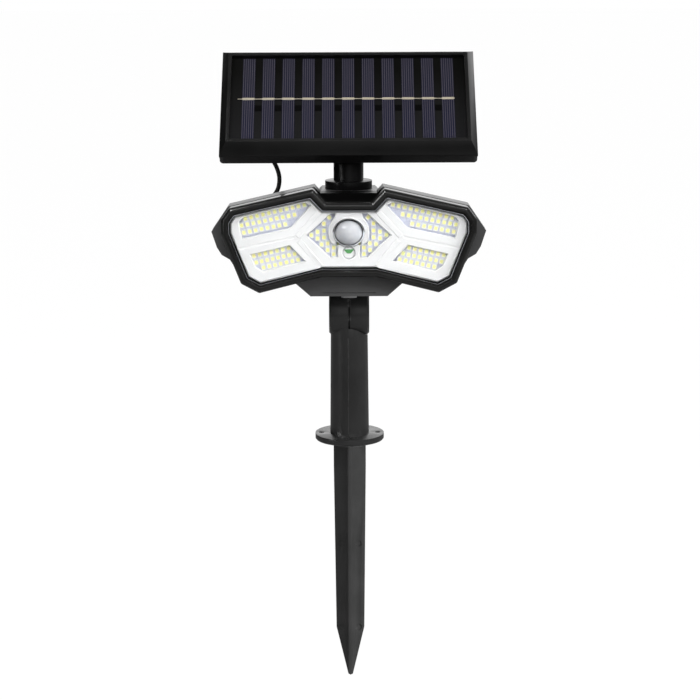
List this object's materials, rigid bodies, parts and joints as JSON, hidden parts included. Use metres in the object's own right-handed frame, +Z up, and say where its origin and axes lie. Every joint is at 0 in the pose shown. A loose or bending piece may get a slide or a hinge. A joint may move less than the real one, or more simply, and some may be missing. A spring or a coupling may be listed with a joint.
{
  "type": "solar garden light",
  "caption": "Solar garden light on a ground spike, with a winged LED lamp head on a tilt knuckle, a motion sensor dome and a swivelling, tilting solar panel above it.",
  "frame": {"origin": "centre of the ground flange's underside, which rests on the ground", "axes": "+Z up along the tube, -Z down the spike, the lamp faces -Y, +X to the right as the lamp is seen from in front"},
  "size_m": [0.1538, 0.0734, 0.3686],
  "materials": {
    "body_plastic": "satin",
    "bezel_plastic": "satin",
    "spike_plastic": "fine grain",
    "panel_plastic": "satin",
    "white_plastic": "satin",
    "clear_lens": "clear",
    "dome_plastic": "translucent",
    "grey_rubber": "matte",
    "seal_rubber": "matte",
    "black_rubber": "matte",
    "cable_jacket": "satin",
    "zinc": "satin",
    "tinned": "satin",
    "white_board": "satin",
    "green_board": "satin",
    "led_phosphor": "satin",
    "sensor_can": "satin",
    "cell_wrap": "satin",
    "laminate": "glossy",
    "silicon": "glossy"
  },
  "bodies": {
    "stake": {"ground_spike": "spike_plastic", "mounting_tube": "body_plastic", "tilt_bolt": "zinc", "tilt_nut": "zinc", "friction_disc": "black_rubber"},
    "lamp_head": {"head_bracket": "body_plastic", "bracket_screws": "zinc", "rear_housing": "body_plastic", "housing_seal": "seal_rubber", "housing_screws": "zinc", "front_bezel": "bezel_plastic", "lens_cover": "clear_lens", "reflector": "white_plastic", "led_board": "white_board", "leds_upper_left": "led_phosphor", "leds_upper_right": "led_phosphor", "leds_lower_left": "led_phosphor", "leds_lower_right": "led_phosphor", "leds_centre": "led_phosphor", "board_screws": "zinc", "pir_sensor": "sensor_can", "pir_dome": "dome_plastic", "pir_collar": "black_rubber", "light_sensor": "dome_plastic", "control_board": "green_board", "mode_switch": "black_rubber", "battery_cradle": "body_plastic", "battery_cell": "cell_wrap", "head_gland": "black_rubber", "cable_lower": "cable_jacket"},
    "button": {"mode_button": "grey_rubber", "switch_plunger": "white_plastic"},
    "post": {"swivel_post": "body_plastic", "swivel_screw": "zinc", "swivel_washer": "zinc", "pivot_bolt": "zinc", "pivot_nut": "zinc"},
    "panel": {"panel_frame": "panel_plastic", "panel_back_cover": "panel_plastic", "panel_screws": "zinc", "laminate_seal": "seal_rubber", "solar_laminate": "laminate", "solar_cells": "silicon", "cell_ribbons": "tinned", "panel_gland": "black_rubber", "cable_upper": "cable_jacket"}
  },
  "joints": [
    {"name": "head_tilt", "type": "hinge", "parent": "stake", "child": "lamp_head", "pos_m": [0, 0, 0.0753], "axis": [1, 0, 0], "range_deg": [-60, 90]},
    {"name": "mode_press", "type": "slide", "parent": "lamp_head", "child": "button", "axis": [0, 0, 1], "range_m": [0, 0.0012], "stiffness_N_per_m": 800, "springref_m": -0.0006},
    {"name": "panel_swivel", "type": "hinge", "parent": "lamp_head", "child": "post", "pos_m": [0, 0, 0.15], "axis": [0, 0, 1], "range_deg": [-60, 60], "deforming": ["cable_lower"]},
    {"name": "panel_tilt", "type": "hinge", "parent": "post", "child": "panel", "pos_m": [0, 0, 0.165], "axis": [1, 0, 0], "range_deg": [-45, 20], "deforming": ["cable_upper"]}
  ]
}
